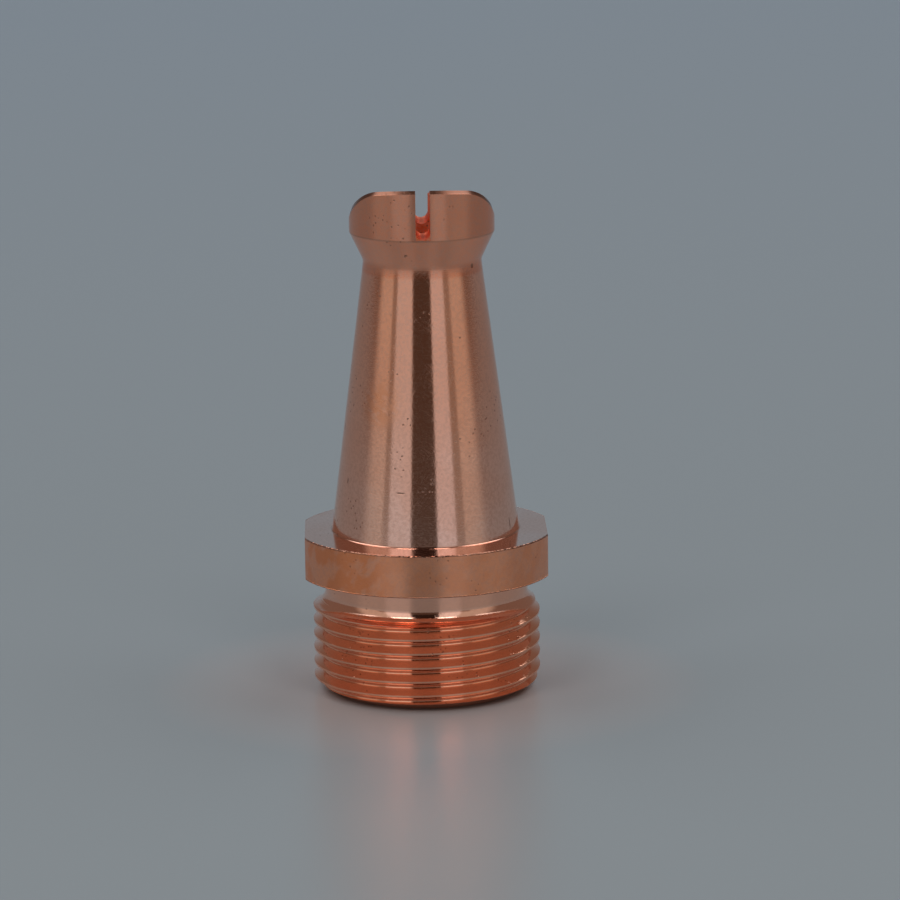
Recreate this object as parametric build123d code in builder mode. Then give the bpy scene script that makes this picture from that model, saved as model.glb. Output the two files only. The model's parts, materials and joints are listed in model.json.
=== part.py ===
from build123d import *
import os
from math import acos, cos, degrees, radians, sin, tan

# Laser welding nozzle, turned from one bar of copper, in millimetres.
# It stands on its threaded end: Z is the beam's axis and Z = 0 is the base face.
# The front of the nozzle, where the end face is highest, looks along -Y.

# Threaded end, M16 with a fine pitch of 1 mm, held at its major diameter
thread_diameter = 16.0
thread_length = 6.15
lead_in_width = 1.3
lead_in_height = 0.8
relief_depth = 0.85
relief_width = 2.3
relief_round = 1.0

# Flange that seats on the welding head, with two flats for a wrench
flange_diameter = 18.0
flange_thickness = 3.0
across_flats = 17.0
flange_edge_break = 0.2

# Tapered body between the flange and the neck
cone_base_diameter = 13.2
cone_length = 18.45
cone_foot_round = 0.2

# Neck and the wider head at the tip
neck_diameter = 8.25
neck_length = 0.75
head_flare_length = 2.0
head_diameter = 10.15
head_wall_length = 3.55

# End face: it falls away towards the back, and its two sides are rounded
end_face_slope = 10.0
tip_corner_radius = 2.1
tip_corner_overhang = 0.1
tip_edge_break = 0.25

# Slot through the tip, front to back, with a round bottom
slot_width = 1.0
slot_depth = 3.45

# Beam and gas passage: a plain inlet bore, a long taper and a plain tip bore
inlet_diameter = 11.0
inlet_length = 8.0
inlet_edge_break = 0.3
tip_bore_diameter = 4.0
tip_bore_length = 5.0

# Levels along the axis, stacked up from the base face
relief_level = thread_length
seat_level = relief_level + relief_width
flange_top = seat_level + flange_thickness
neck_level = flange_top + cone_length
flare_level = neck_level + neck_length
head_level = flare_level + head_flare_length
tip_level = head_level + head_wall_length

thread_radius = thread_diameter / 2
relief_radius = thread_radius - relief_depth
flange_radius = flange_diameter / 2
cone_base_radius = cone_base_diameter / 2
neck_radius = neck_diameter / 2
head_radius = head_diameter / 2
inlet_radius = inlet_diameter / 2
tip_bore_radius = tip_bore_diameter / 2

# The round of the relief groove starts square to its floor and ends on the thread's crest
relief_turn = acos(1 - relief_depth / relief_round)
relief_round_start = relief_level + relief_round * sin(relief_turn)

# Overshoot of the cutting shapes past the metal that they remove
overshoot = 1.0

with BuildPart() as nozzle:
    # Outside, as one turned profile from the base face to the tip
    with BuildSketch(Plane.XZ):
        with BuildLine():
            Polyline(
                (0, 0),
                (thread_radius - lead_in_width, 0),
                (thread_radius, lead_in_height),
                (thread_radius, relief_level),
            )
            JernArc(
                start=(relief_radius, relief_round_start),
                tangent=(0, -1),
                radius=relief_round,
                arc_size=degrees(relief_turn),
            )
            Polyline(
                (relief_radius, relief_round_start),
                (relief_radius, seat_level),
                (flange_radius, seat_level),
                (flange_radius, flange_top),
                (cone_base_radius, flange_top),
                (neck_radius, neck_level),
                (neck_radius, flare_level),
                (head_radius, head_level),
                (head_radius, tip_level),
                (0, tip_level),
                (0, 0),
            )
        make_face()
    revolve(axis=Axis.Z)

    # Broken edges of the flange, and the small round where the body rises from it
    turned_edges = nozzle.edges().filter_by(GeomType.CIRCLE)
    flange_edges = turned_edges.group_by(SortBy.RADIUS)[-1]
    cone_foot = turned_edges.filter_by_position(Axis.Z, flange_top, flange_top)
    cone_foot = cone_foot.sort_by(SortBy.RADIUS)[0]
    fillet(cone_foot, radius=cone_foot_round)
    chamfer(flange_edges, length=flange_edge_break)

    # Two flats, milled square to X through the whole thickness of the flange
    with BuildSketch(Plane.XY.offset(seat_level)):
        with GridLocations(across_flats + flange_diameter, 0, 2, 1):
            Rectangle(flange_diameter, flange_diameter)
    extrude(amount=flange_thickness, mode=Mode.SUBTRACT)

    # End face with rounded sides, cut along one direction that falls towards the back.
    # The side rounds turn upright just outside the head, so they cross its wall at an edge.
    slope = radians(end_face_slope)
    cut_run = head_diameter + overshoot
    cut_top = tip_level + cut_run * tan(slope)
    round_side = head_radius + tip_corner_overhang
    cut_side = round_side + overshoot
    round_start = tip_level - tip_corner_radius
    face_half_width = round_side - tip_corner_radius
    with BuildSketch(Plane.XZ.offset(head_radius)):
        with BuildLine():
            Line((-face_half_width, tip_level), (face_half_width, tip_level))
            RadiusArc(
                (face_half_width, tip_level),
                (round_side, round_start),
                tip_corner_radius,
            )
            Polyline(
                (round_side, round_start),
                (cut_side, round_start),
                (cut_side, cut_top),
                (-cut_side, cut_top),
                (-cut_side, round_start),
                (-round_side, round_start),
            )
            RadiusArc(
                (-round_side, round_start),
                (-face_half_width, tip_level),
                tip_corner_radius,
            )
        make_face()
    extrude(
        amount=cut_run / cos(slope),
        dir=(0, cos(slope), -sin(slope)),
        mode=Mode.SUBTRACT,
    )

    # Broken rim, where the end face and its two side rounds meet the wall of the head
    wall = nozzle.faces().filter_by(GeomType.CYLINDER).sort_by(Axis.Z)[-1]
    rim_edges = wall.edges().filter_by(GeomType.LINE, reverse=True)
    rim_edges = rim_edges.filter_by(lambda edge: edge.center().Z > head_level + tip_edge_break)
    chamfer(rim_edges, length=tip_edge_break)

    # Passage for the beam and the gas, bored from the base face to the tip
    with BuildSketch(Plane.XZ):
        with BuildLine():
            Polyline(
                (0, 0),
                (inlet_radius + inlet_edge_break, 0),
                (inlet_radius, inlet_edge_break),
                (inlet_radius, inlet_length),
                (tip_bore_radius, tip_level - tip_bore_length),
                (tip_bore_radius, tip_level),
                (0, tip_level),
                (0, 0),
            )
        make_face()
    revolve(axis=Axis.Z, mode=Mode.SUBTRACT)

    # Slot across the tip, open above, its bottom a half round
    slot_bottom = tip_level - slot_depth
    slot_round = slot_width / 2
    with BuildSketch(Plane.XZ):
        with Locations((0, slot_bottom + slot_round)):
            Circle(slot_round)
            Rectangle(slot_width, slot_depth, align=(Align.CENTER, Align.MIN))
    extrude(amount=head_radius + overshoot, both=True, mode=Mode.SUBTRACT)

nozzle.part.label = "nozzle"
os.makedirs("parts", exist_ok=True)
export_step(nozzle.part, "parts/nozzle.step")
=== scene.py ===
# %% [markdown]
# # A laser welding nozzle in turned copper
#
# The real thing is one piece. It is turned from a bar of copper on a lathe, bored through,
# threaded, and then milled: two flats on the flange, a sloping end face, and a slot.
#
# The steps here follow the workshop. A profile is spun round the axis, as the lathe does it,
# and then cutters take metal away, as the mill does it.

# %% Load the frame
import json
from math import acos, cos, degrees, pi, radians, sin, sqrt, tan

import bmesh
import bpy
from mathutils import Matrix, Vector

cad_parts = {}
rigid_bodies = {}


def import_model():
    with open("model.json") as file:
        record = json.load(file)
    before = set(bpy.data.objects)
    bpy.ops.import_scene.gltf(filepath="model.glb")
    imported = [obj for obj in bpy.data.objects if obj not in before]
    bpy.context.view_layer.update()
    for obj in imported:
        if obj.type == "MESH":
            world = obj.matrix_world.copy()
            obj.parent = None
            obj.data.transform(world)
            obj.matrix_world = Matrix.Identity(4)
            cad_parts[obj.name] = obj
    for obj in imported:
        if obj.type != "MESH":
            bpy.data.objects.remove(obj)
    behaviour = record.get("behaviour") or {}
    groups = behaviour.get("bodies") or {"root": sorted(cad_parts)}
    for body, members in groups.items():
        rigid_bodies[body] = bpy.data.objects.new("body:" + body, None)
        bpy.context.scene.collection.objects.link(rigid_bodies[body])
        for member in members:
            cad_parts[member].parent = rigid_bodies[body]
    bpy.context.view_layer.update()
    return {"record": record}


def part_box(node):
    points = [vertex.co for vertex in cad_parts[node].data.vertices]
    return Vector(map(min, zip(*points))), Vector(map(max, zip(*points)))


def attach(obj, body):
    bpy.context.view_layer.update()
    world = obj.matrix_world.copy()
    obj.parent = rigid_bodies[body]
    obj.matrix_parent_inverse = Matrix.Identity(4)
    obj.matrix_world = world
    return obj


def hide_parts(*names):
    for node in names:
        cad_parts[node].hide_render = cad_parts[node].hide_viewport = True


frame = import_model()
node_low, node_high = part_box("nozzle")
mounts = {mount["name"]: mount for mount in frame["record"]["mounts"]}
to_mm = 1000

# %% [markdown]
# ## The camera
#
# Small parts are photographed from some way off with a long lens, so the sides stay nearly
# parallel. The place below was found by fitting a pinhole camera to the outline of the part
# in the photograph. It stands in front, looks down by twelve degrees, and leans a little.

# %% Stand the camera in front
camera_distance = 0.32393
camera_height = 0.08619
look_down = 0.2105
look_aside = 0.0055
camera_roll = -0.0118
camera_turn = -0.0155
focal_in_frames = 5.2382

forward = Vector((
    sin(look_aside) * cos(look_down),
    cos(look_aside) * cos(look_down),
    -sin(look_down),
))
level_right = Vector((cos(look_aside), -sin(look_aside), 0))
level_up = level_right.cross(forward)
right = cos(camera_roll) * level_right + sin(camera_roll) * level_up
up = cos(camera_roll) * level_up - sin(camera_roll) * level_right

camera_data = bpy.data.cameras.new("long_lens")
camera_data.sensor_width = 36
camera_data.lens = focal_in_frames * camera_data.sensor_width
camera_data.clip_start = 0.01
camera = bpy.data.objects.new("long_lens", camera_data)
stand = Matrix((right, up, -forward)).transposed().to_4x4()
stand.translation = (0, -camera_distance, camera_height)
camera.matrix_world = Matrix.Rotation(camera_turn, 4, "Z") @ stand
bpy.context.scene.collection.objects.link(camera)
bpy.context.scene.camera = camera
print("Focal length in mm:", round(camera_data.lens, 1))

# %% [markdown]
# ## The shape, in millimetres
#
# The outside sizes come from the frame, and the others are named as on a workshop drawing.
# The mesh is built in millimetres, which is kinder to the cutting steps than metres, and it
# is brought to metres at the end. A level is a height above the base face.

# %% Sizes of the threaded end and the flange
flange_radius = to_mm * (node_high.y - node_low.y) / 2
half_across_flats = to_mm * (node_high.x - node_low.x) / 2
thread_radius = mounts["thread"]["dims"]["r_mm"]
seat_level = to_mm * mounts["seat"]["pos_m"][2]

lead_in_width = 1.3
lead_in_height = 0.8
relief_width = 2.3
relief_depth = 0.85
relief_round = 1.0
thread_level = seat_level - relief_width
flange_thickness = 3.0
flange_top = seat_level + flange_thickness
levels = (thread_level, seat_level, flange_top)
print("Levels in mm:", [round(level, 2) for level in levels])

# %% Sizes of the tapered body, the head and the bore
cone_base_radius = 6.6
cone_length = 18.45
neck_radius = 4.125
neck_taper = 0.09
neck_length = 0.75
flare_length = 2.0
head_radius = 5.075
head_wall_length = 3.55
neck_level = flange_top + cone_length
flare_level = neck_level + neck_length
head_level = flare_level + flare_length
tip_level = head_level + head_wall_length

inlet_radius = mounts["inlet"]["dims"]["r_mm"]
inlet_length = 8.0
inlet_break = 0.3
tip_bore_radius = mounts["tip_bore"]["dims"]["r_mm"]
tip_bore_length = 5.0
levels = (neck_level, flare_level, head_level, tip_level)
print("Levels in mm:", [round(level, 2) for level in levels])

# %% [markdown]
# ## One turned profile
#
# A lathe makes any shape that is the same all the way round. In Blender that is one outline
# in the XZ plane and one spin. The outline is drawn as a chain of a few points. It goes up the
# outside and comes down through the bore, so the spun mesh is closed and has a wall.
#
# The relief groove behind the thread has a round side. One point is spun by a part of a turn
# to draw that arc. Corners that a tool leaves soft are bevelled while they are still points.

# %% Draw the round side of the relief groove
profile = bmesh.new()


def corner(radius, level):
    return profile.verts.new((radius, 0, level))


relief_radius = thread_radius - relief_depth
relief_turn = acos(1 - relief_depth / relief_round)
arc_level = thread_level + relief_round * sin(relief_turn)
arc_steps = 18
arc_end = corner(relief_radius, arc_level)
bmesh.ops.spin(
    profile,
    geom=[arc_end],
    cent=(relief_radius + relief_round, 0, arc_level),
    axis=(0, 1, 0),
    angle=-relief_turn,
    steps=arc_steps,
)
thread_top = max(profile.verts, key=lambda point: point.co.x)
print("Points on the arc:", len(profile.verts))

# %% Draw the rest of the profile
def join_up(shape, points):
    """Draws an edge from each point to the next."""
    for first, second in zip(points, points[1:]):
        shape.edges.new((first, second))


inlet_rim = corner(inlet_radius + inlet_break, 0)
lead_in_foot = corner(thread_radius - lead_in_width, 0)
lead_in_head = corner(thread_radius, lead_in_height)
seat_foot = corner(relief_radius, seat_level)
seat_rim = corner(flange_radius, seat_level)
flange_rim = corner(flange_radius, flange_top)
cone_foot = corner(cone_base_radius, flange_top)
cone_top = corner(neck_radius + neck_taper, neck_level)
flare_start = corner(neck_radius, flare_level)
flare_end = corner(head_radius, head_level)
bore_points = [
    corner(head_radius, tip_level),
    corner(tip_bore_radius, tip_level),
    corner(tip_bore_radius, tip_level - tip_bore_length),
    corner(inlet_radius, inlet_length),
    corner(inlet_radius, inlet_break),
]
join_up(profile, [inlet_rim, lead_in_foot, lead_in_head, thread_top])
join_up(profile, [arc_end, seat_foot, seat_rim, flange_rim, cone_foot, cone_top, flare_start])
join_up(profile, [flare_start, flare_end, *bore_points, inlet_rim])
print("Points on the profile:", len(profile.verts))

# %% Soften the corners that the tool leaves soft
def soften(shape, points, size, steps):
    """Rounds the given points of an outline."""
    bmesh.ops.bevel(
        shape,
        geom=points,
        offset=size,
        offset_type="OFFSET",
        segments=steps,
        profile=0.5,
        affect="VERTICES",
        material=-1,
    )


soften(profile, [cone_foot], size=0.06, steps=3)
soften(profile, [seat_rim, flange_rim], size=0.07, steps=2)
soften(profile, [flare_end], size=0.05, steps=2)
soften(profile, [flare_start], size=0.2, steps=4)
soften(profile, [cone_top], size=0.08, steps=2)
soften(profile, [lead_in_foot, lead_in_head], size=0.1, steps=2)
print("Points after softening:", len(profile.verts))

# %% [markdown]
# The spin turns the chain into the body. Many steps keep the reflections in the polished
# copper clean, because each facet is less than a degree wide. Merging closes the seam.

# %% Spin the profile
def open_edges(shape):
    return sum(not edge.is_manifold for edge in shape.edges)


round_steps = 384
seam_gap = 1e-5
body = profile
bmesh.ops.spin(
    body,
    geom=body.verts[:] + body.edges[:],
    cent=(0, 0, 0),
    axis=(0, 0, 1),
    angle=2 * pi,
    steps=round_steps,
    use_merge=True,
)
bmesh.ops.remove_doubles(body, verts=body.verts[:], dist=seam_gap)
bmesh.ops.recalc_face_normals(body, faces=body.faces[:])
print("Faces after the spin:", len(body.faces), "open edges:", open_edges(body))

# %% [markdown]
# ## Two flats for a wrench
#
# A mill takes a slice off each side of the flange. Only the flange reaches that far out, so a
# bisecting plane cuts it and nothing else, and one face closes each cut.

# %% Mill the flats
for side in (1, -1):
    cut = bmesh.ops.bisect_plane(
        body,
        geom=body.verts[:] + body.edges[:] + body.faces[:],
        dist=1e-6,
        plane_co=(side * half_across_flats, 0, 0),
        plane_no=(side, 0, 0),
        clear_outer=True,
    )
    rim = [edge for edge in cut["geom_cut"] if isinstance(edge, bmesh.types.BMEdge)]
    filled = bmesh.ops.contextual_create(body, geom=rim)
    print("Flat at x =", side * half_across_flats, "faces:", len(filled["faces"]))

# %% [markdown]
# ## Cutters
#
# The other cuts are shapes of their own, which a Boolean modifier takes away from the body.
# Each cutter is a small closed mesh. The exact solver is used, because the cutters meet the
# body at shallow angles.

# %% Make the body an object, and get ready to cut it
def make_piece(name, shape):
    """Makes an object of a shape that is finished."""
    mesh = bpy.data.meshes.new(name)
    shape.to_mesh(mesh)
    shape.free()
    piece = bpy.data.objects.new(name, mesh)
    bpy.context.scene.collection.objects.link(piece)
    return piece


def cut_away(piece, cutter):
    """Takes the cutter's shape away from the piece, and then removes the cutter."""
    modifier = piece.modifiers.new("cut", "BOOLEAN")
    modifier.operation = "DIFFERENCE"
    modifier.solver = "EXACT"
    modifier.object = cutter
    depsgraph = bpy.context.evaluated_depsgraph_get()
    carved = bpy.data.meshes.new_from_object(piece.evaluated_get(depsgraph))
    piece.modifiers.clear()
    old_mesh, cutter_mesh = piece.data, cutter.data
    piece.data = carved
    bpy.data.objects.remove(cutter)
    bpy.data.meshes.remove(old_mesh)
    bpy.data.meshes.remove(cutter_mesh)
    print("Faces after the cut:", len(carved.polygons))


nozzle = make_piece("turned_nozzle", body)
print("Faces in the turned body:", len(nozzle.data.polygons))

# %% [markdown]
# ### The end face
#
# The end face falls away by ten degrees towards the back, and its two sides are rounded over.
# One tool path makes all of it. The cutter is the space above that path: a flat outline seen
# from the front, with two round corners, pushed along the slope.
#
# One round corner is drawn by a spin, and the other is its mirror image.

# %% Draw the two round corners
end_slope = radians(10)
side_round = 2.1
side_round_steps = 28
side_overhang = 0.1
side_reach = head_radius + side_overhang
round_start = tip_level - side_round
nearly = 1e-4


def leftmost(points):
    return min(points, key=lambda point: point.co.x)


end_cutter = bmesh.new()
round_foot = end_cutter.verts.new((side_reach, -head_radius, round_start))
bmesh.ops.spin(
    end_cutter,
    geom=[round_foot],
    cent=(side_reach - side_round, -head_radius, round_start),
    axis=(0, 1, 0),
    angle=-pi / 2,
    steps=side_round_steps,
)
round_head = max(end_cutter.verts, key=lambda point: point.co.z)
bmesh.ops.mirror(
    end_cutter,
    geom=end_cutter.verts[:] + end_cutter.edges[:],
    axis="X",
    merge_dist=0,
)
left_head = leftmost([point for point in end_cutter.verts if point.co.z > tip_level - nearly])
left_foot = leftmost([point for point in end_cutter.verts if point.co.z < round_start + nearly])
print("Points on the round corners:", len(end_cutter.verts))

# %% Close the outline, push it along the slope, and cut
spare = 1.0
cut_run = 2 * head_radius + spare
cut_side = side_reach + spare
cut_top = tip_level + cut_run * tan(end_slope)
join_up(end_cutter, [
    round_foot,
    end_cutter.verts.new((cut_side, -head_radius, round_start)),
    end_cutter.verts.new((cut_side, -head_radius, cut_top)),
    end_cutter.verts.new((-cut_side, -head_radius, cut_top)),
    end_cutter.verts.new((-cut_side, -head_radius, round_start)),
    left_foot,
])
join_up(end_cutter, [round_head, left_head])
cap = bmesh.ops.contextual_create(end_cutter, geom=end_cutter.edges[:])["faces"]
pushed = bmesh.ops.extrude_face_region(end_cutter, geom=cap, use_keep_orig=True)
path = Vector((0, cos(end_slope), -sin(end_slope)))
bmesh.ops.translate(
    end_cutter,
    verts=[item for item in pushed["geom"] if isinstance(item, bmesh.types.BMVert)],
    vec=path * cut_run / cos(end_slope),
)
bmesh.ops.recalc_face_normals(end_cutter, faces=end_cutter.faces[:])
print("End cutter faces:", len(end_cutter.faces), "open edges:", open_edges(end_cutter))
cut_away(nozzle, make_piece("end_cutter", end_cutter))

# %% [markdown]
# ### The broken rim
#
# The rim of the head runs up and down with the end face, and a file takes its edge off all
# round. The cutter is a thin ring of triangles. Each triangle is lifted to the height that the
# end face has at its place, so the ring follows the rim.

# %% Spin a thin ring
rim_break = 0.25
spare_rim = 0.15
rim_steps = 360

rim_cutter = bmesh.new()
ring_points = [rim_cutter.verts.new((head_radius, 0, step)) for step in range(3)]
join_up(rim_cutter, ring_points + ring_points[:1])
bmesh.ops.spin(
    rim_cutter,
    geom=rim_cutter.verts[:] + rim_cutter.edges[:],
    cent=(0, 0, 0),
    axis=(0, 0, 1),
    angle=2 * pi,
    steps=rim_steps,
    use_merge=True,
)
print("Points in the ring:", len(rim_cutter.verts))

# %% Lift the ring to the rim, and take the edge off
def end_height(x, y):
    """The level of the end face above a place on the XY plane."""
    past_flat = max(0, abs(x) - (side_reach - side_round))
    drop = side_round - sqrt(side_round**2 - past_flat**2)
    return tip_level - (y + head_radius) * tan(end_slope) - drop


for point in rim_cutter.verts:
    across = point.co.xy.normalized()
    wall_height = end_height(*(across * head_radius)) - rim_break
    face_height = end_height(*(across * (head_radius - rim_break)))
    slope = (face_height - wall_height) / rim_break
    outer, inner = head_radius + spare_rim, head_radius - rim_break - spare_rim
    radius, level = {
        0: (outer, wall_height - slope * spare_rim),
        1: (inner, face_height + slope * spare_rim),
        2: (outer, face_height + slope * spare_rim),
    }[round(point.co.z)]
    point.co = (*(across * radius), level)
rim_cutter.normal_update()
bmesh.ops.recalc_face_normals(rim_cutter, faces=rim_cutter.faces[:])
print("Rim cutter open edges:", open_edges(rim_cutter))
cut_away(nozzle, make_piece("rim_cutter", rim_cutter))

# %% [markdown]
# ### The slot
#
# A thin cutter runs through the tip from front to back and leaves a half-round bottom. A cube
# is stretched to its size, and its two long lower edges are bevelled by half its width.

# %% Cut the slot
slot_width = 1.0
slot_depth = 3.45
slot_bottom = tip_level - slot_depth
slot_round_steps = 10
cutter_size = Vector((slot_width, 4 * head_radius, 6))

slot_cutter = bmesh.new()
bmesh.ops.create_cube(slot_cutter, size=1)
bmesh.ops.scale(slot_cutter, vec=cutter_size, verts=slot_cutter.verts[:])
cutter_middle = (0, 0, slot_bottom + cutter_size.z / 2)
bmesh.ops.translate(slot_cutter, vec=cutter_middle, verts=slot_cutter.verts[:])
lower_edges = [
    edge for edge in slot_cutter.edges
    if all(point.co.z < slot_bottom + nearly for point in edge.verts)
    and edge.calc_length() > 2 * slot_width
]
bmesh.ops.bevel(
    slot_cutter,
    geom=lower_edges,
    offset=slot_width / 2 - nearly,
    segments=slot_round_steps,
    profile=0.5,
    affect="EDGES",
    material=-1,
)
print("Slot cutter faces:", len(slot_cutter.faces))
cut_away(nozzle, make_piece("slot_cutter", slot_cutter))

# %% [markdown]
# ### The thread
#
# A threading tool has a point of sixty degrees, and it moves along by one pitch for each turn.
# A spin with a step along the axis does the same with the outline of that point. The thread is
# right-handed, as nearly all are, so seen from above it climbs while it turns anticlockwise.
# The tool starts below the end and leaves through the relief groove.
#
# The groove is less deep than the tool's triangle, because the point of the triangle is
# rounded. The tool also stands a little out of the metal, which gives a clean cut.

# %% Draw the tool's point
pitch = 1.0
crest_flat = pitch / 8
root_round = 0.1443 * pitch
root_steps = 6
tool_clear = 0.04
half_angle = radians(30)
groove_half = (pitch - crest_flat) / 2 + tool_clear * tan(half_angle)
tool_reach = groove_half / tan(half_angle) - tool_clear
start_level = -1.01 * pitch

thread_tool = bmesh.new()
tool_base = thread_radius + tool_clear
tool_points = [
    thread_tool.verts.new((tool_base, 0, start_level - groove_half)),
    thread_tool.verts.new((tool_base, 0, start_level + groove_half)),
    thread_tool.verts.new((thread_radius - tool_reach, 0, start_level)),
]
join_up(thread_tool, tool_points + tool_points[:1])
soften(thread_tool, tool_points[-1:], size=root_round / tan(half_angle), steps=root_steps)
print("Points on the tool:", len(thread_tool.verts))

# %% Cut the thread
thread_turns = 8.25
steps_in_turn = 128
bmesh.ops.spin(
    thread_tool,
    geom=thread_tool.verts[:] + thread_tool.edges[:],
    cent=(0, 0, 0),
    axis=(0, 0, 1),
    dvec=(0, 0, pitch / steps_in_turn),
    angle=2 * pi * thread_turns,
    steps=int(thread_turns * steps_in_turn),
)
bmesh.ops.holes_fill(thread_tool, edges=thread_tool.edges[:])
bmesh.ops.recalc_face_normals(thread_tool, faces=thread_tool.faces[:])
print("Thread tool faces:", len(thread_tool.faces), "open edges:", open_edges(thread_tool))
cut_away(nozzle, make_piece("thread_tool", thread_tool))

# %% [markdown]
# ## Clean the mesh and set its smoothing
#
# The cuts leave a few points that nearly coincide, so they are merged. Faces that meet at a
# shallow angle are shaded as one curved surface, and the real edges stay crisp.
#
# A small round beside a broad face needs care. If the two were shaded as one, the round would
# bend the light on the whole broad face, so even a slight angle between them is kept crisp.

# %% Merge the points that the cuts left
merge_gap = 2e-5
sliver_size = 1e-5
shape = bmesh.new()
shape.from_mesh(nozzle.data)
bmesh.ops.remove_doubles(shape, verts=shape.verts[:], dist=merge_gap)
bmesh.ops.dissolve_degenerate(shape, edges=shape.edges[:], dist=sliver_size)
bmesh.ops.scale(shape, vec=(1 / to_mm, 1 / to_mm, 1 / to_mm), verts=shape.verts[:])
print("Open edges:", open_edges(shape))

# %% Set the smoothing
sharp_angle = 14
slight_angle = 3
broad_ratio = 8


def is_crisp(edge):
    """True at a real edge, and where a broad face meets the narrow faces of a small round."""
    areas = sorted(face.calc_area() for face in edge.link_faces)
    narrow_beside_broad = areas[-1] > broad_ratio * areas[0]
    limit = slight_angle if narrow_beside_broad else sharp_angle
    return degrees(edge.calc_face_angle(0)) > limit


for edge in shape.edges:
    edge.smooth = not is_crisp(edge)
for face in shape.faces:
    face.smooth = True
bmesh.ops.recalc_face_normals(shape, faces=shape.faces[:])
shape.to_mesh(nozzle.data)
shape.free()
weighted = nozzle.modifiers.new("true_normals", "WEIGHTED_NORMAL")
weighted.mode = "FACE_AREA"
weighted.weight = 100
weighted.keep_sharp = True
triangles = sum(len(face.vertices) - 2 for face in nozzle.data.polygons)
print("Triangles in the nozzle:", triangles)

# %% [markdown]
# ## The floor
#
# The part stands on a plain grey sheet that runs on behind it, a little warmer near the
# camera and a little bluer far away. The sheet has a dull shine, so it carries a faint image
# of the copper. Light that the copper throws on the sheet around its foot is painted there.

# %% Lay the floor
sheet_reach = 3
floor_shape = bmesh.new()
bmesh.ops.create_grid(floor_shape, x_segments=1, y_segments=1, size=sheet_reach)
floor = make_piece("floor", floor_shape)
print("Width of the floor in m:", 2 * sheet_reach)

# %% Paint the sheet from front to back
def split(vector):
    """The X, Y and Z of a vector."""
    node = nodes.new("ShaderNodeSeparateXYZ")
    links.new(vector, node.inputs["Vector"])
    return node.outputs


def ramp(value, low, high, start=0, end=1, interpolation="LINEAR"):
    """Goes from start to end while the value goes from low to high."""
    node = nodes.new("ShaderNodeMapRange")
    node.interpolation_type = interpolation
    node.inputs["From Min"].default_value = low
    node.inputs["From Max"].default_value = high
    node.inputs["To Min"].default_value = start
    node.inputs["To Max"].default_value = end
    links.new(value, node.inputs["Value"])
    return node.outputs["Result"]


sheet_front, sheet_back = -0.04, 0.4
floor_paint = bpy.data.materials.new("grey_sheet")
floor_paint.use_nodes = True
nodes, links = floor_paint.node_tree.nodes, floor_paint.node_tree.links
spot = nodes.new("ShaderNodeTexCoord").outputs["Object"]
x, y, z = split(spot)
sheet_ramp = nodes.new("ShaderNodeValToRGB")
links.new(ramp(y, sheet_front, sheet_back), sheet_ramp.inputs["Fac"])
sheet_ramp.color_ramp.elements[0].color = (0.236, 0.262, 0.276, 1)
sheet_ramp.color_ramp.elements[1].color = (0.202, 0.236, 0.272, 1)
sheet_ramp.color_ramp.elements.new(0.2).color = (0.222, 0.247, 0.262, 1)
print("Shades on the sheet:", len(sheet_ramp.color_ramp.elements))

# %% Warm the sheet around the foot
def lay_over(under, mask, over):
    """Lays a colour over what is there, as far as the mask says."""
    mix = nodes.new("ShaderNodeMix")
    mix.data_type = "RGBA"
    links.new(mask, mix.inputs["Factor"])
    links.new(under, mix.inputs["A"])
    mix.inputs["B"].default_value = (*over, 1)
    return mix.outputs["Result"]


foot_radius = thread_radius / to_mm
warm_radius = 2.5 * foot_radius
distance = nodes.new("ShaderNodeVectorMath")
distance.operation = "LENGTH"
links.new(spot, distance.inputs[0])
near_foot = ramp(distance.outputs["Value"], foot_radius, warm_radius, start=1, end=0)
sheet_colour = lay_over(sheet_ramp.outputs["Color"], near_foot, (0.325, 0.297, 0.293))
floor_shader = nodes["Principled BSDF"]
links.new(sheet_colour, floor_shader.inputs["Base Color"])
floor_shader.inputs["Roughness"].default_value = 0.32
floor_shader.inputs["Specular IOR Level"].default_value = 0.36
floor.data.materials.append(floor_paint)
print("Nodes in the sheet:", len(nodes))

# %% [markdown]
# ## The studio
#
# Polished metal shows the room, so the room has to be right. The photograph shows a dark strip
# down the middle, where the camera stands, a bright panel on each side of it, a thin gap, and
# softer light beyond. Here the studio is painted on the world, by direction: azimuth round
# the part, from the front, and height above the horizon, both in degrees.

# %% Find the direction of each ray
def number(operation, first, second=None):
    """One sum: each value is a plain number or comes from another node."""
    node = nodes.new("ShaderNodeMath")
    node.operation = operation
    for socket, value in zip(node.inputs, (first, second)):
        if isinstance(value, (int, float)):
            socket.default_value = value
        elif value is not None:
            links.new(value, socket)
    return node.outputs[0]


def both(first, second):
    return number("MULTIPLY", first, second)


def turn_from_front(x, y):
    """The angle round the axis in degrees, from the front and towards the right."""
    return both(number("ARCTAN2", x, both(y, -1)), 180 / pi)


world = bpy.data.worlds.new("studio")
bpy.context.scene.world = world
world.use_nodes = True
nodes, links = world.node_tree.nodes, world.node_tree.links
x, y, z = split(nodes.new("ShaderNodeTexCoord").outputs["Generated"])
azimuth = turn_from_front(x, y)
away = number("ABSOLUTE", azimuth)
height = both(number("ARCSINE", z), 180 / pi)
print("Nodes for the direction:", len(nodes))

# %% [markdown]
# The room starts as one dim, warm colour. Each panel is then laid over what is there. A panel
# has two sides and two levels, and soft borders. The first panels are the far side, the soft
# light at both sides, and the dim low part in front. Then come the bright bands above them
# and the dark ceiling.

# %% Paint the room
def above(value, edge, soft):
    """Rises from 0 to 1 where the value passes the edge."""
    return ramp(value, edge - soft / 2, edge + soft / 2, interpolation="SMOOTHSTEP")


def below(value, edge, soft):
    """Falls from 1 to 0 where the value passes the edge."""
    return ramp(value, edge - soft / 2, edge + soft / 2, 1, 0, "SMOOTHSTEP")


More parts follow.
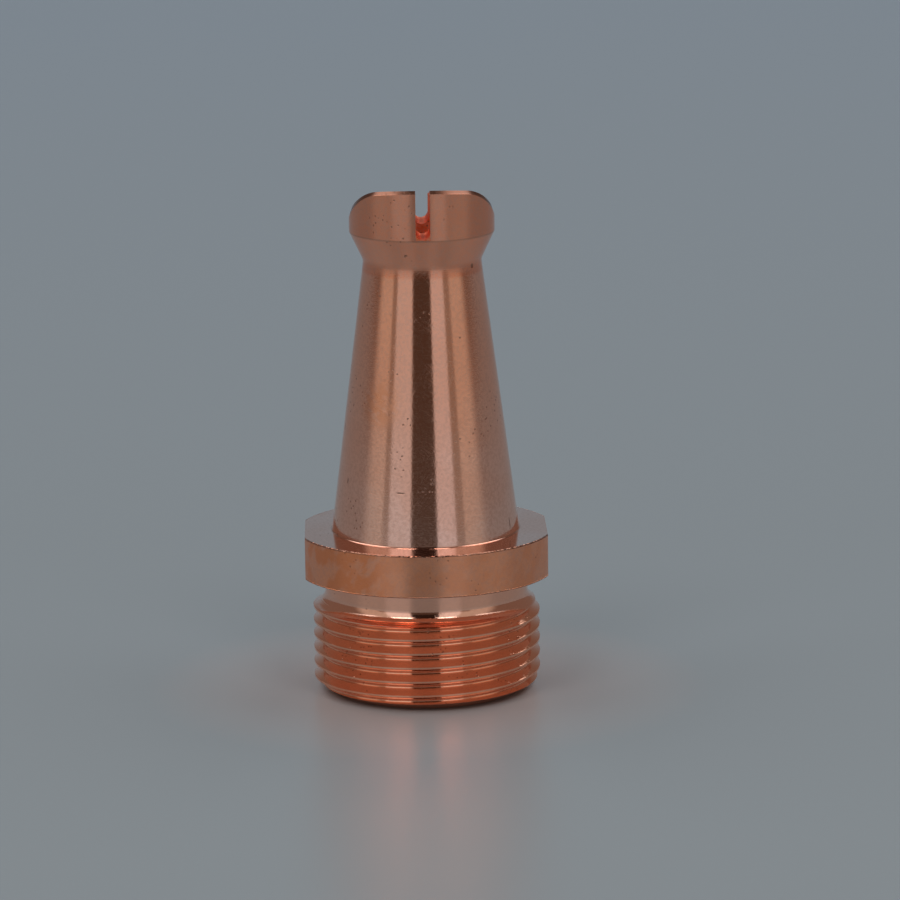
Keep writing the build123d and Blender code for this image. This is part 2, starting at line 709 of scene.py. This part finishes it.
def between(value, low, high, soft):
    return both(above(value, low, soft), below(value, high, soft))


def plain(colour):
    node = nodes.new("ShaderNodeRGB")
    node.outputs[0].default_value = (*colour, 1)
    return node.outputs[0]


def panel(colour, around, sides, soft_sides, levels, soft_levels):
    """Paints one panel over what is there: sides and levels are in degrees."""
    global view
    mask = both(between(around, *sides, soft_sides), between(height, *levels, soft_levels))
    view = lay_over(view, mask, colour)


lowest = -90
past_top = 100
past_front = -1
past_back = 400
view = plain((0.17, 0.122, 0.1))
panel((0.22, 0.27, 0.31), away, (164, past_back), 18, (lowest, 30), 16)
panel((0.47, 0.42, 0.37), azimuth, (-83, -40), 16, (lowest, 46), 14)
panel((0.46, 0.41, 0.36), azimuth, (30, 78), 18, (lowest, 46), 14)
panel((0.25, 0.21, 0.18), azimuth, (-56.5, 49), 5, (lowest, 9), 4)
panel((0.6, 0.58, 0.55), away, (past_front, 112), 2, (44, 64), 8)
panel((2.35, 2.4, 2.47), away, (68, 158), 20, (38, 66), 12)
panel((0.05, 0.04, 0.035), away, (past_front, past_back), 2, (70, past_top), 10)
print("Nodes in the room:", len(nodes))

# %% [markdown]
# The dark strip and the two bright panels beside it come last. They make the stripes that run
# down the front of the copper. Each bright panel is dim near the horizon and hot at its top.
#
# The camera itself doesn't see the room, but a plain backdrop in the sheet's far colour.

# %% Paint the strip and the bright panels
strip = (-20, 15)
left_panel = (-48, -19)
right_panel = (13.5, 37.5)
low_levels = (lowest, 9)
middle_levels = (8, 44)
top_levels = (42, 64)
panel((0.02, 0.012, 0.009), azimuth, strip, 3, (12, 75), 12)
panel((0.068, 0.05, 0.04), azimuth, strip, 3, (lowest, 16), 12)
panel((0.5, 0.5, 0.51), azimuth, left_panel, 4, low_levels, 2)
panel((0.52, 0.52, 0.54), azimuth, right_panel, 4, low_levels, 2)
for bright_panel in (left_panel, right_panel):
    panel((0.78, 0.78, 0.79), azimuth, bright_panel, 4, middle_levels, 6)
for bright_panel in (left_panel, right_panel):
    panel((4.5, 4.5, 4.5), azimuth, bright_panel, 4, top_levels, 6)

camera_sees = nodes.new("ShaderNodeLightPath").outputs["Is Camera Ray"]
backdrop = lay_over(view, camera_sees, (0.2, 0.235, 0.27))
background = nodes["Background"]
links.new(backdrop, background.inputs["Color"])
background.inputs["Strength"].default_value = 1
print("Nodes in the studio:", len(nodes))

# %% [markdown]
# ## The copper
#
# Bright copper is pure metal colour: all of what is seen is reflection, tinted from pink to
# orange. The lathe leaves fine rings, so light spreads up and down more than sideways, which
# the shader calls anisotropy. Handling adds dull specks, a rubbed patch and a warmer film.

# %% Start the copper
copper = bpy.data.materials.new("turned_copper")
copper.use_nodes = True
nodes, links = copper.node_tree.nodes, copper.node_tree.links
shader = nodes["Principled BSDF"]
shader.inputs["Metallic"].default_value = 1
shader.inputs["Anisotropic"].default_value = 0.5
shader.inputs["Anisotropic Rotation"].default_value = 0.25
rings_way = nodes.new("ShaderNodeTangent")
rings_way.direction_type = "RADIAL"
rings_way.axis = "Z"
links.new(rings_way.outputs["Tangent"], shader.inputs["Tangent"])
nozzle.data.materials.clear()
nozzle.data.materials.append(copper)
print("Materials on the nozzle:", len(nozzle.data.materials))

# %% [markdown]
# Each turned surface has its own finish, so the copper is divided into zones. Some zones carry
# painted light instead: a painted reflection inside, and painted shade on the edges, the corners
# and the rim. A zone is told by the level above the base and the distance out from the axis, both
# in millimetres. A few marks are also placed by their turn from the front, in degrees.

# %% Measure places on the copper
spot = nodes.new("ShaderNodeTexCoord").outputs["Object"]
x, y, z = split(spot)
level = both(z, to_mm)
out = both(number("SQRT", number("ADD", number("POWER", x, 2), number("POWER", y, 2))), to_mm)
turn = turn_from_front(x, y)
print("Nodes for the places:", len(nodes))

# %% Mark out the zones of the threaded end and the flange
def either(first, second):
    return number("MAXIMUM", first, second)


border = 0.1
painted_shade_width = 0.09
fine = 0.02
thread_zone = below(level, thread_level, border)
relief_zone = between(level, thread_level, seat_level, border)
relief_wall = between(level, arc_level, seat_level, 0.3)
wall_zone = both(
    between(level, seat_level - border, flange_top - 0.08, 0.05),
    above(out, thread_radius + 0.2, 0.2),
)
# Painted shade: the flange edges are tinted dark, a painted dark reflection of the dim ceiling in
# the small edge breaks. The same band also carries real burrs in the bump.
edge_burrs_and_painted_shade = both(
    above(out, flange_radius - painted_shade_width, fine),
    either(
        between(level, flange_top - painted_shade_width, flange_top + 1, fine),
        between(level, seat_level - 1, seat_level + painted_shade_width, fine),
    ),
)
# Painted shade: darker lines in the crease at the foot of the taper and along the corner of the
# head.
painted_shade_at_foot = both(
    between(level, flange_top - fine, flange_top + painted_shade_width, 2 * fine),
    below(out, cone_base_radius + painted_shade_width, 2 * fine),
)
print("Nodes with the lower zones:", len(nodes))

# %% Mark out the zones of the body, the head and the inside
flare_edge = 0.06
slack = 0.005
painted_shade_at_head = both(
    between(level, head_level - flare_edge, head_level + flare_edge, flare_edge),
    above(out, head_radius - border, fine),
)
painted_shade_corners = either(painted_shade_at_foot, painted_shade_at_head)
# Painted shade: the chamfer round the rim is tinted nearly black, a painted dark reflection of the
# dim ceiling.
painted_shade_rim = both(
    above(level, head_level + 0.6, border),
    between(out, head_radius - rim_break - 0.01, head_radius - 0.008, slack),
)
upper_zone = above(level, flange_top + 6, 14)
head_zone = above(level, neck_level, 0.3)
slot_zone = both(
    above(level, slot_bottom - 0.01, 0.01),
    below(number("ABSOLUTE", x), (slot_width / 2 + slack) / to_mm, slack / to_mm),
)
bore_radius = ramp(level, inlet_length, tip_level - tip_bore_length, inlet_radius, tip_bore_radius)
bore_zone = number("LESS_THAN", out, number("ADD", bore_radius, border))
# Painted reflection: the inside of the slot and the bore is tinted deep red, which stands in for
# light that bounces between the copper walls.
inside_painted_bounce = either(slot_zone, bore_zone)
print("Nodes with the upper zones:", len(nodes))

# %% [markdown]
# Small marks come from noise whose grains have a size in millimetres: fine specks, rings left
# by the lathe, a warm film in soft patches, and thin scratches, which are grains drawn out to
# long threads and tilted.

# %% Draw the small marks
def grain(sizes, detail=2, tilt=0):
    """Noise with grains of the given size in mm along X, Y and Z, tilted about Y."""
    sized = nodes.new("ShaderNodeMapping")
    sized.vector_type = "TEXTURE"
    sized.inputs["Scale"].default_value = [side / to_mm for side in sizes]
    sized.inputs["Rotation"].default_value = (0, tilt, 0)
    links.new(spot, sized.inputs["Vector"])
    noise = nodes.new("ShaderNodeTexNoise")
    noise.inputs["Scale"].default_value = 1
    noise.inputs["Detail"].default_value = detail
    links.new(sized.outputs["Vector"], noise.inputs["Vector"])
    return noise.outputs[0]


specks = above(grain((0.22, 0.22, 0.22), detail=3), 0.52, 0.2)
rings = grain((3, 3, 0.07), detail=3)
film = above(grain((4.5, 4.5, 4.5), detail=3), 0.5, 0.2)
coarse = grain((0.33, 0.33, 0.33))
worn = above(grain((2.4, 2.4, 2.4)), 0.5, 0.08)
scratches = both(worn, either(
    above(grain((0.06, 0.06, 1.8), detail=0, tilt=0.5), 0.7, 0.08),
    above(grain((0.06, 0.06, 1.5), detail=0, tilt=-0.9), 0.7, 0.08),
))
streaks = both(above(grain((1, 1, 1.6), detail=3, tilt=0.7), 0.48, 0.16), wall_zone)
on_the_left = both(between(turn, -90, -22, 14), 0.5)
streaks = both(streaks, number("ADD", 0.3, on_the_left))
print("Nodes with the small marks:", len(nodes))

# %% [markdown]
# A few marks have their own place, as on the real part: a rubbed patch, a group of pits and
# some nicks. Each is round, or drawn out to a short line.

# %% Draw the marks that have their own place
def mark(turn_at, level_at, half_width, half_height, soft=0.5):
    """A round mark on the outside: its place in degrees and mm, its size in mm."""
    across = both(number("SUBTRACT", turn, turn_at), both(out, pi / 180 / half_width))
    along = number("DIVIDE", number("SUBTRACT", level, level_at), half_height)
    reach = number("SQRT", number("ADD", both(across, across), both(along, along)))
    return below(reach, 1, soft)


patch = mark(-35, 21.2, 1.3, 1.4, soft=1.4)
rub = both(patch, above(grain((0.7, 0.7, 0.35), detail=4, tilt=0.6), 0.44, 0.2))
cells = nodes.new("ShaderNodeTexVoronoi")
cells.inputs["Scale"].default_value = 2.6 * to_mm
links.new(spot, cells.inputs["Vector"])
pitted = above(grain((3.5, 3.5, 3.5), detail=1), 0.6, 0.04)
pitted = either(pitted, mark(-19, 17.1, 0.7, 1.4, soft=1))
pits = both(below(cells.outputs["Distance"], 0.16, 0.1), pitted)
nicks = mark(-17, 15.2, 0.3, 0.06)
nicks = either(nicks, mark(-15, 31.6, 0.12, 0.06))
nicks = either(nicks, mark(55, 30.5, 0.15, 0.15))
nicks = either(nicks, mark(-63, 15.5, 0.07, 0.2))
nicks = either(nicks, mark(-80, 19, 0.07, 0.25))
nicks = either(nicks, mark(64, 12.3, 0.07, 0.4))
dents = either(pits, nicks)
print("Nodes with all the marks:", len(nodes))

# %% [markdown]
# The colour starts as clean pink copper. Each zone and each mark is then laid over it as a thin
# tint, from the broad zones to the small marks, and the dark edges, which are painted shade, come
# last. The deep red inside is a painted reflection.

# %% Tint the copper
def tint(mask, over, strength=1):
    """Lays a tint over the copper's colour."""
    global colour
    colour = lay_over(colour, both(mask, strength), over)


colour = plain((0.95, 0.61, 0.5))
tint(upper_zone, (0.94, 0.48, 0.33))
tint(thread_zone, (1, 0.47, 0.3))
tint(relief_zone, (0.94, 0.58, 0.46))
tint(relief_wall, (1, 0.5, 0.34))
tint(wall_zone, (0.98, 0.42, 0.24))
tint(head_zone, (0.9, 0.36, 0.22))
# Painted reflection: deep red inside the slot and the bore.
tint(inside_painted_bounce, (0.88, 0.2, 0.08))
# Painted shade: the dark flange edges, a painted dark reflection.
tint(edge_burrs_and_painted_shade, (0.32, 0.14, 0.09))
# Painted shade: the darker corners.
tint(painted_shade_corners, (0.5, 0.24, 0.16), strength=0.6)
tint(film, (0.9, 0.42, 0.27), strength=0.3)
tint(specks, (0.7, 0.4, 0.3), strength=0.36)
tint(thread_zone, (1, 0.49, 0.32), strength=0.6)
tint(relief_zone, (1, 0.55, 0.4), strength=0.6)
tint(streaks, (0.92, 0.31, 0.13))
tint(rub, (0.97, 0.44, 0.25), strength=0.85)
tint(scratches, (0.8, 0.45, 0.33), strength=0.25)
tint(dents, (0.25, 0.13, 0.09), strength=0.75)
# Painted shade: the nearly black rim.
tint(painted_shade_rim, (0.16, 0.07, 0.045), strength=0.9)
links.new(colour, shader.inputs["Base Color"])
print("Nodes with the tints:", len(nodes))

# %% Make some places duller
def plus(total, mask, amount):
    return number("ADD", total, both(mask, amount))


polished = 0.085
dull = plus(polished, wall_zone, 0.12)
dull = plus(dull, thread_zone, -0.06)
dull = plus(dull, head_zone, 0.05)
dull = plus(dull, inside_painted_bounce, 0.35)
dull = plus(dull, rub, 0.16)
dull = plus(dull, specks, 0.04)
dull = plus(dull, painted_shade_rim, 0.15)
links.new(dull, shader.inputs["Roughness"])
print("Nodes with the roughness:", len(nodes))

# %% [markdown]
# The smallest marks are too fine for the mesh. A bump map lets them catch the light: rings
# stand up, pits and scratches go in, and the edges that the tool left are a little ragged.

# %% Raise and sink the small marks
bump_height = 0.002
rise = both(specks, -0.3)
rise = plus(rise, rings, 0.5)
rise = plus(rise, dents, -4)
rise = plus(rise, scratches, -0.35)
rise = plus(rise, both(coarse, edge_burrs_and_painted_shade), 40)
rise = plus(rise, both(coarse, thread_zone), 2)
bump = nodes.new("ShaderNodeBump")
bump.inputs["Distance"].default_value = bump_height / to_mm
links.new(rise, bump.inputs["Height"])
links.new(bump.outputs["Normal"], shader.inputs["Normal"])
print("Nodes in the copper:", len(nodes))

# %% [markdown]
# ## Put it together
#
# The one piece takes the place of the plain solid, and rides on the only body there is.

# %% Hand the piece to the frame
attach(nozzle, "root")
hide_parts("nozzle")

bpy.context.scene.view_settings.view_transform = "Standard"
